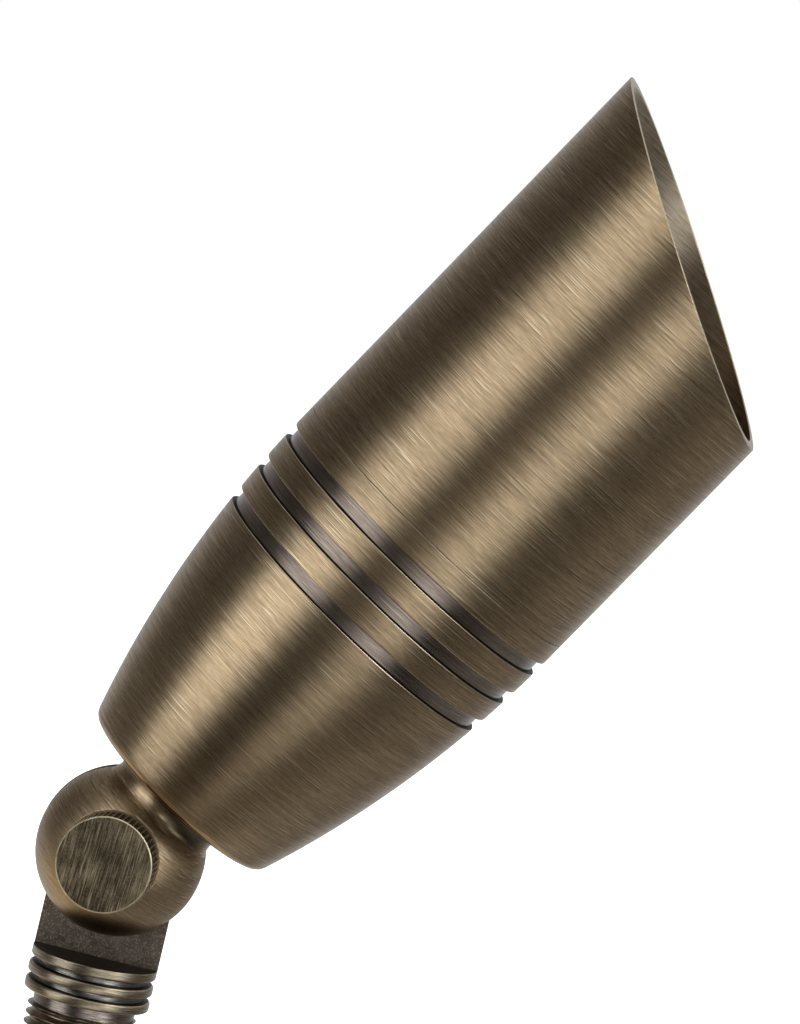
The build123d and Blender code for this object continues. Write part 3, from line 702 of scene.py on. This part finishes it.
coil_radius, coil_foot, coil_top, leg_foot = 0.8, 61.0, 67.0, 57.4
leg_points = [(coil_radius, leg_foot), (coil_radius, coil_foot),
              (-1.3, leg_foot), (-1.3, coil_top), (-coil_radius, coil_top)]
legs = bpy.data.meshes.new("filament")
legs.from_pydata([(x * mm, 0, z * mm) for x, z in leg_points], [(0, 1), (2, 3), (3, 4)], [])
filament = shaped("filament", legs, coil_tree, {
    "Turns": 9.5, "Coil Radius": coil_radius * mm, "Length": (coil_top - coil_foot) * mm,
    "Start": (0.0, 0.0, coil_foot * mm), "Wire Radius": 0.12 * mm, "Material": strip_steel})
settle(filament, barrel)
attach(filament, "head")

cover_glass = glass_disc("cover_glass", 23.75, bowl_seat, 90.3, 0.25, quartz)
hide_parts("lamp_cover_glass")
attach(cover_glass, "head")

# Screw seal and washer: a rubber ring round the shank in the ball's seat, under a flat steel ring.
# Neither turns with the thumb screw, so its head doesn't grind the ball.
dress(seal_rubber, "screw_seal")
dress(strip_steel, "thumb_screw_washer")

# Thumb screw: a brass head with a straight knurl and a bright worn rim, on a threaded shank.
# It passes through the near half ball and draws both half balls together.
face_brass, tree, shader, where = new_finish("face_brass", metallic=1.0)
face_lean = radians(3.0)
face_lines = place(tree, "ShaderNodeMapping", {
    "Vector": where, "Location": tuple(pivot), "Rotation": (0.0, face_lean, 0.0)}, vector_type="TEXTURE")
stretched = place(tree, "ShaderNodeVectorMath", {
    0: face_lines.outputs[0], 1: (5600.0, 230.0, 230.0)}, operation="MULTIPLY")
rubs = noise(tree, stretched.outputs[0], 1.0, 1.0)
stain = noise(tree, where, 200.0)
grit = noise(tree, where, 2600.0)
# This start puts the mean tone of the face a little below midway.
tone = -2.0
for pattern, weight in ((stain, 1.3), (grit, 1.1), (rubs, 2.4)):
    tone = reckon(tree, "MULTIPLY_ADD", pattern, weight, tone)
base = blend_colour(tree, place(tree, "ShaderNodeClamp", {"Value": tone}).outputs[0],
                    (0.11, 0.084, 0.05), (0.47, 0.362, 0.215))
nick = gone_from(tree, rubs, 0.61, 0.72)
base = blend_colour(tree, reckon(tree, "MULTIPLY", nick, 0.8), base, (0.72, 0.58, 0.38))
tree.links.new(base, shader.inputs["Base Color"])
tree.links.new(reckon(tree, "MULTIPLY_ADD", stain, 0.2, 0.28), shader.inputs["Roughness"])
rubbed = place(tree, "ShaderNodeBump", {"Strength": 0.4, "Distance": 0.02 * mm, "Height": rubs})
tree.links.new(rubbed.outputs[0], shader.inputs["Normal"])
screw_axis = tuple(pivot), (pi / 2, 0.0, 0.0)
knurl_brass = brushed_metal("knurl_brass", screw_axis, (0.008, 0.0065, 0.005), (0.04, 0.032, 0.023),
                            (0.2, 0.165, 0.12), 0.34, 0.3)
rim_brass = brushed_metal("rim_brass", screw_axis, (0.55, 0.45, 0.28), (0.85, 0.72, 0.5),
                          (0.9, 0.8, 0.6), 0.45, 0.3)

knurl_tree, made = open_tree("knurled_head", {
    "Outline": "Geometry", "Steps Round": "Int", "Corner Steps": "Int", "Teeth": "Int",
    "Cutter Centre": "Float", "Cutter Radius": "Float", "Plain Rim": "Float", "Material": "Material"})
knurl_math = partial(reckon, knurl_tree)
turning_inputs = ("Outline", "Steps Round", "Corner Steps", "Material")
blank = place(knurl_tree, "GeometryNodeGroup", {
    label: made[label] for label in turning_inputs}, node_tree=turning_tree)
point = place(knurl_tree, "ShaderNodeSeparateXYZ", {
    "Vector": place(knurl_tree, "GeometryNodeInputPosition").outputs[0]}).outputs
from_axis = knurl_math("SQRT", knurl_math(
    "ADD", knurl_math("MULTIPLY", point[0], point[0]), knurl_math("MULTIPLY", point[1], point[1])))
turns = knurl_math("MULTIPLY", knurl_math(
    "DIVIDE", knurl_math("ARCTAN2", point[1], point[0]), 2 * pi), made["Teeth"])
aside = knurl_math("DIVIDE", knurl_math("MULTIPLY", knurl_math(
    "SUBTRACT", knurl_math("FRACT", turns), 0.5), 2 * pi), made["Teeth"])
sideways = knurl_math("MULTIPLY", made["Cutter Centre"], knurl_math("SINE", aside))
bite = knurl_math("SQRT", knurl_math("MAXIMUM", 0.0, knurl_math(
    "SUBTRACT", knurl_math("MULTIPLY", made["Cutter Radius"], made["Cutter Radius"]),
    knurl_math("MULTIPLY", sideways, sideways))))
limit = knurl_math("SUBTRACT", knurl_math(
    "MULTIPLY", made["Cutter Centre"], knurl_math("COSINE", aside)), bite)
limit = knurl_math("ADD", limit, knurl_math("GREATER_THAN", point[2], made["Plain Rim"]))
shrink = knurl_math("DIVIDE", knurl_math("MINIMUM", from_axis, limit),
                    knurl_math("MAXIMUM", from_axis, tiny))
pressed = place(knurl_tree, "ShaderNodeCombineXYZ", {
    "X": knurl_math("MULTIPLY", point[0], shrink),
    "Y": knurl_math("MULTIPLY", point[1], shrink), "Z": point[2]})
cut_teeth = place(knurl_tree, "GeometryNodeSetPosition", {
    "Geometry": blank.outputs[0], "Position": pressed.outputs[0]})
close_tree(knurl_tree, cut_teeth.outputs[0], made["Material"])

head_face, plain_rim, head_under, head_hollow = 20.677, 20.4, 13.077, 14.077
head_radius, tip_radius, face_radius, hollow_radius = 8.9, 8.84, 8.63, 6.45
teeth, steps_per_tooth = 54, 12
head_outline = [
    (0, head_face), (7.6, head_face), (8.64, head_face), (8.75, head_face, 0.03),
    (head_radius, 20.527, 0.03), (head_radius, 20.42), (head_radius, 20.32), (head_radius, 13.25, 0.05),
    (8.75, head_under, 0.05), (hollow_radius, head_under), (hollow_radius, head_hollow), (0, head_hollow)]
screw_head = shaped("screw_head", outline_mesh("screw_head", head_outline), knurl_tree, {
    "Steps Round": teeth * steps_per_tooth, "Corner Steps": 2, "Teeth": teeth,
    "Cutter Centre": 8.97 * mm, "Cutter Radius": 0.45 * mm, "Plain Rim": plain_rim * mm,
    "Material": knurl_brass})
settle(screw_head, knuckle, 34)


def screw_finish(centre, off_axis):
    """A scratched face, a bright rim, and black teeth with worn tips."""
    if centre.z > head_face - 0.017 and off_axis < face_radius:
        return face_brass
    return rim_brass if centre.z > plain_rim or off_axis > tip_radius else knurl_brass


paint(screw_head, screw_finish, knuckle.inverted())
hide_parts("thumb_screw")
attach(screw_head, "thumb_screw")

screw_shank = shaped("screw_shank", bpy.data.meshes.new("screw_shank"), thread_tree, {
    "Crest Radius": 2.95 * mm, "Depth": 0.5 * mm, "Pitch": 1.0 * mm, "Length": 23.2 * mm,
    "Bore Radius": 0.0, "End Chamfer": 0.6 * mm, "Top Chamfer": 0.3 * mm,
    "Steps Round": 48, "Rows": 280, "Material": rim_brass})
settle(screw_shank, knuckle @ Matrix.Translation((0, 0, -9.0 * mm)))
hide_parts("thumb_screw")
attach(screw_shank, "thumb_screw")

# Shroud seal and lens gasket: a rubber ring on the spigot, and a flat silicone ring on its front.
# The shroud presses the lens down on the gasket.
gasket_silicone = moulded("gasket_silicone", (0.50, 0.49, 0.46), (0.64, 0.63, 0.60), 0.45, 1200.0)
dress(seal_rubber, "shroud_seal")
dress(gasket_silicone, "lens_gasket")

# Lens: a disc of clear tempered glass with a ground edge.
# It lies on the silicone gasket, and the shroud's lip holds it.
lens_back, lens_front = 93.86, 97.06
lens_glass = clear_glass("lens_glass", (0.96, 0.985, 0.98), 1.5)
lens_disc = glass_disc("lens_disc", 29.55, lens_back, lens_front, 0.5, lens_glass)
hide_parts("lens")
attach(lens_disc, "lens_pack")

# Shroud: a brass tube cut at a slant, brushed outside and paler inside, with a lip that holds
# the lens. It screws onto the housing's spigot, and a fine seam shows where they meet.
shroud_tree, made = open_tree("slant_cut_tube", {
    "Outline": "Geometry", "Steps Round": "Int", "Corner Steps": "Int", "Cut From": "Float",
    "Long Side": "Vector", "Material": "Material"})
straight = place(shroud_tree, "GeometryNodeGroup", {
    label: made[label] for label in turning_inputs}, node_tree=turning_tree)
here = place(shroud_tree, "GeometryNodeInputPosition").outputs[0]
rise = place(shroud_tree, "ShaderNodeVectorMath", {
    0: here, 1: made["Long Side"]}, operation="DOT_PRODUCT")
lifted = place(shroud_tree, "ShaderNodeCombineXYZ", {"Z": rise.outputs["Value"]})
above = reckon(shroud_tree, "GREATER_THAN", place(
    shroud_tree, "ShaderNodeSeparateXYZ", {"Vector": here}).outputs[2], made["Cut From"])
slanted = place(shroud_tree, "GeometryNodeSetPosition", {
    "Geometry": straight.outputs[0], "Selection": above, "Offset": lifted.outputs[0]})
close_tree(shroud_tree, slanted.outputs[0], made["Material"])

shroud_foot, mouth, shroud_bore = 84.96, 151.96, 30.05
lip_back, lip_front, lip_radius = 97.16, 98.76, 27.05
cut_from, cut_slope = 110, tan(radians(27.8))
long_side = radians(180 - 4.7)
shroud_outline = [
    (shroud_bore, shroud_foot, 0.15), (barrel_radius, shroud_foot, 0.1), (barrel_radius, mouth, 0.15),
    (shroud_bore, mouth, 0.15), (shroud_bore, lip_front, 0.2), (lip_radius, lip_front, 0.3),
    (lip_radius, lip_back, 0.2), (shroud_bore, lip_back)]
shroud = shaped("shroud_tube", outline_mesh("shroud_tube", shroud_outline), shroud_tree, {
    "Steps Round": 288, "Corner Steps": 4, "Cut From": cut_from * mm,
    "Long Side": (cut_slope * cos(long_side), cut_slope * sin(long_side), 0.0),
    "Material": barrel_brass})
settle(shroud, barrel)
cut_brass = brushed_metal("cut_brass", barrel_axis, (0.44, 0.335, 0.2), (0.7, 0.545, 0.34),
                          (0.86, 0.7, 0.46), 0.30, 0.4)
rim_depth = 0.17


def shroud_finish(centre, off_axis):
    """A bright cut rim, a turned bore and a brushed outside."""
    cut = mouth + cut_slope * (centre.x * cos(long_side) + centre.y * sin(long_side))
    if centre.z > cut - rim_depth:
        return cut_brass
    return bore_brass if off_axis < shroud_bore + 0.05 else barrel_brass


paint(shroud, shroud_finish, to_barrel)
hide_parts("shroud")
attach(shroud, "shroud")

# Camera: in front of the lamp and a little to its right, with a long lens that looks slightly down.
# It is rolled, because the stem leans in the picture.
yaw, pitch, roll = radians(-4.32), radians(-4.14), radians(13.44)
camera_spot = (0.09932, -0.83808, 0.18062)
picture_height, focal_pixels, sensor = 1024, 4572.91, 36.0
ahead = Vector((sin(yaw) * cos(pitch), cos(yaw) * cos(pitch), sin(pitch)))
level = Vector((cos(yaw), -sin(yaw), 0))
upward = level.cross(ahead)
right = cos(roll) * level + sin(roll) * upward
top = cos(roll) * upward - sin(roll) * level
camera = bpy.data.objects.new("camera", bpy.data.cameras.new("camera"))
camera.matrix_world = Matrix.Translation(camera_spot) @ Matrix(
    (right, top, -ahead)).transposed().to_4x4()
camera.data.sensor_fit = "VERTICAL"
camera.data.sensor_height = sensor
camera.data.lens = focal_pixels / picture_height * sensor
camera.data.clip_start = 0.01
bpy.context.scene.collection.objects.link(camera)
bpy.context.scene.camera = camera

# Floor: a matt white disc under the lamp, wide enough to run out of the picture on all sides.
# It glows for the camera alone, so that it looks as white as the air behind, and keeps a soft shadow.
floor_paint, tree, shader, where = new_finish("floor_paint", roughness=0.9)
mottle = blend_colour(tree, noise(tree, where, 3.0), (0.80, 0.80, 0.80), (0.82, 0.82, 0.82))
tree.links.new(mottle, shader.inputs["Base Color"])
for_camera = place(tree, "ShaderNodeLightPath").outputs["Is Camera Ray"]
glow = place(tree, "ShaderNodeEmission", {"Strength": reckon(tree, "MULTIPLY", for_camera, 0.65)})
both = place(tree, "ShaderNodeAddShader", {0: shader.outputs[0], 1: glow.outputs[0]})
tree.links.new(both.outputs[0], tree.nodes["Material Output"].inputs["Surface"])
ground = bpy.data.meshes.new("floor")
work = bmesh.new()
bmesh.ops.create_circle(work, cap_ends=True, radius=40.0, segments=64)
work.to_mesh(ground)
work.free()
ground.materials.append(floor_paint)
floor = bpy.data.objects.new("floor", ground)
bpy.context.scene.collection.objects.link(floor)
floor.visible_glossy = False

# Studio: a white cloth tent with dark gaps in it, which give the brass its long soft bands.
# Reflections show the tent, all else sees plain pale air, and three softboxes light what isn't metal.
# Bearings go round the barrel, with 0 towards the camera and plus to its upper left.
world = bpy.data.worlds.new("studio")
bpy.context.scene.world = world
world.use_nodes = True
tree = world.node_tree
view = place(tree, "ShaderNodeMapping", {
    "Vector": place(tree, "ShaderNodeTexCoord").outputs["Generated"],
    "Rotation": (0.0, rest_tilt, 0.0)}, vector_type="TEXTURE")
seen = place(tree, "ShaderNodeSeparateXYZ", {"Vector": view.outputs[0]}).outputs
bearing = reckon(tree, "ARCTAN2", *(reckon(tree, "MULTIPLY", seen[i], -1) for i in (0, 1)))
bearing_share = reckon(tree, "MULTIPLY_ADD", bearing, 1 / (2 * pi), 0.5)


def tent_bands(levels):
    """The tent's brightness as (bearing in degrees, level) stops. Bright cloth is cooler."""
    band = place(tree, "ShaderNodeValToRGB", {"Fac": bearing_share})
    ramp = band.color_ramp
    while len(ramp.elements) < len(levels):
        ramp.elements.new(0.5)
    for stop, (bear, level) in zip(ramp.elements, levels):
        stop.position = bear / 360 + 0.5
        cool = min(level, 1.0)
        stop.color = (level, level * (1 + 0.08 * cool), level * (1 + 0.16 * cool), 1)
    return band.outputs[0]


across_shroud = tent_bands([
    (-180, 0.7), (-158, 0.5), (-138, 0.28), (-100, 0.24), (-76, 0.1), (-50, 0.02), (-33, 1.3),
    (-23, 1.33), (-9, 0.37), (2, 0.1), (15, 0.07), (30, 1.3), (51, 1.36), (68, 0.12), (90, 0.07),
    (122, 0.16), (146, 0.34), (180, 0.7)])
across_taper = tent_bands([
    (-180, 0.7), (-158, 0.55), (-138, 0.26), (-95, 0.29), (-62, 0.13), (-46, 0.2), (-31, 0.85),
    (-21, 0.65), (-9, 0.05), (19, 0.04), (32, 1.85), (58, 1.9), (71, 0.08), (95, 0.08), (122, 0.16),
    (146, 0.5), (180, 0.75)])
across_tail = tent_bands([
    (-180, 0.7), (-158, 0.6), (-135, 0.45), (-95, 0.42), (-62, 0.16), (-46, 0.1), (-31, 0.3),
    (-21, 0.16), (-9, 0.01), (21, 0.01), (35, 1.15), (58, 1.15), (70, 0.06), (90, 0.12), (122, 0.46),
    (146, 0.75), (180, 0.75)])
across_stem = tent_bands([
    (-180, 0.5), (-150, 0.28), (-104, 0.12), (-88, 0.15), (-74, 0.6), (-62, 1.6), (-54, 3.0),
    (-40, 3.0), (-31, 0.2), (-14, 0.04), (20, 0.06), (32, 1.2), (53, 1.2), (70, 0.2), (122, 0.2),
    (146, 0.4), (180, 0.6)])
across_ground = tent_bands([
    (-180, 0.85), (-120, 0.85), (-84, 0.6), (-58, 0.3), (0, 0.2), (58, 0.25), (84, 0.5), (116, 0.85),
    (180, 0.85)])
across_ground = blend_colour(tree, 1.0, across_ground, (1.0, 0.88, 0.7), "MULTIPLY")
across_gap = tent_bands([
    (-180, 0.4), (-104, 0.2), (-70, 0.12), (-25, 0.12), (0, 0.2), (25, 0.4), (38, 1.3), (55, 1.3),
    (70, 0.2), (122, 0.2), (180, 0.4)])
across_ball = tent_bands([
    (-180, 0.8), (-150, 0.6), (-120, 0.4), (-92, 0.7), (-74, 1.1), (-56, 3.6), (-36, 3.6),
    (-20, 1.8), (-4, 1.0), (30, 0.8), (50, 1.1), (75, 0.9), (100, 0.8), (180, 0.8)])
tent = across_shroud
for start, stop, panel in ((-0.10, -0.38, across_taper), (-0.40, -0.66, across_tail),
                           (-0.67, -0.84, across_ground), (0.13, 0.24, across_stem),
                           (0.32, 0.42, across_gap), (0.52, 0.66, across_ball)):
    tent = blend_colour(tree, gone_from(tree, seen[2], start, stop, "SMOOTHSTEP"), tent, panel)
rays = place(tree, "ShaderNodeLightPath").outputs
looked_through = reckon(tree, "MAXIMUM", rays["Is Camera Ray"], rays["Is Transmission Ray"])
open_air = blend_colour(tree, looked_through, (0.55, 0.55, 0.55), (1.0, 1.0, 1.0))
sky = blend_colour(tree, rays["Is Glossy Ray"], open_air, tent)
tree.links.new(sky, tree.nodes["Background"].inputs["Color"])

for name, stand, aim, size, power in (
        ("softbox_left", (-0.75, -0.85, 0.55), (0.03, 0.0, 0.10), 0.5, 8.0),
        ("softbox_right", (0.85, -0.45, 0.35), (0.02, 0.0, 0.06), 0.35, 3.0),
        ("softbox_top", (0.1, 0.3, 1.2), (0.03, 0.0, 0.10), 0.9, 9.0)):
    softbox = bpy.data.objects.new(name, bpy.data.lights.new(name, "AREA"))
    softbox.data.size = size
    softbox.data.energy = power
    turned_to = (Vector(stand) - Vector(aim)).to_track_quat("Z", "Y")
    softbox.matrix_world = Matrix.Translation(stand) @ turned_to.to_matrix().to_4x4()
    softbox.visible_camera = False
    softbox.visible_glossy = False
    bpy.context.scene.collection.objects.link(softbox)

bpy.context.scene.view_settings.view_transform = "Standard"
